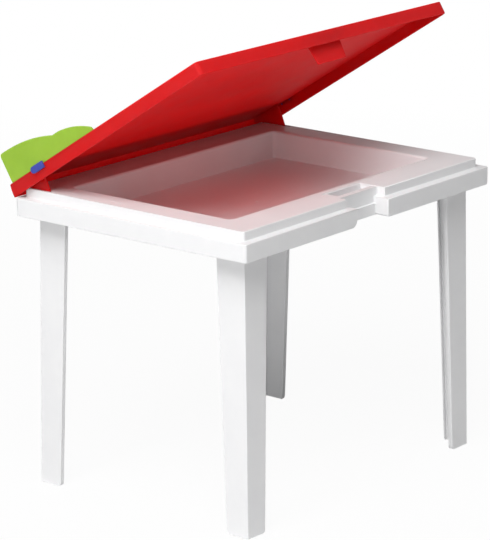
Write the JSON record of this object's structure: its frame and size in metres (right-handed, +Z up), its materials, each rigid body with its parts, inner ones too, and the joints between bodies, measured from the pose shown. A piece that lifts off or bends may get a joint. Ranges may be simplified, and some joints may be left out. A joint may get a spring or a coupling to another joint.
{
  "type": "storage table",
  "caption": "Low white child's table on four push-in legs, with a deep storage well under a red hinged lid that carries a green pen organiser.",
  "frame": {"origin": "middle of the whole table's box, on the floor, with the lid at its open rest angle", "axes": "+Z up from the floor, front of the table towards -Y with the hinge at +Y, +X to the right as seen from the front"},
  "size_m": [0.592, 0.4721, 0.694],
  "materials": {
    "white_plastic": "satin moulded polypropylene",
    "red_plastic": "satin moulded polypropylene",
    "green_plastic": "satin moulded polypropylene",
    "blue_plastic": "satin moulded polypropylene",
    "pin_steel": "drawn rod"
  },
  "bodies": {
    "table": {"table_body": "white_plastic", "leg_front_left": "white_plastic", "leg_front_right": "white_plastic", "leg_back_left": "white_plastic", "leg_back_right": "white_plastic", "hinge_pin_left": "pin_steel", "hinge_pin_right": "pin_steel"},
    "lid_unit": {"lid": "red_plastic", "organiser_tray": "green_plastic", "tray_clip_left": "blue_plastic", "tray_clip_right": "blue_plastic"}
  },
  "joints": [
    {"name": "lid_hinge", "type": "hinge", "parent": "table", "child": "lid_unit", "pos_m": [0, 0.20256, 0.4355], "axis": [-1, 0, 0], "range_deg": [-32.5, 60]}
  ]
}
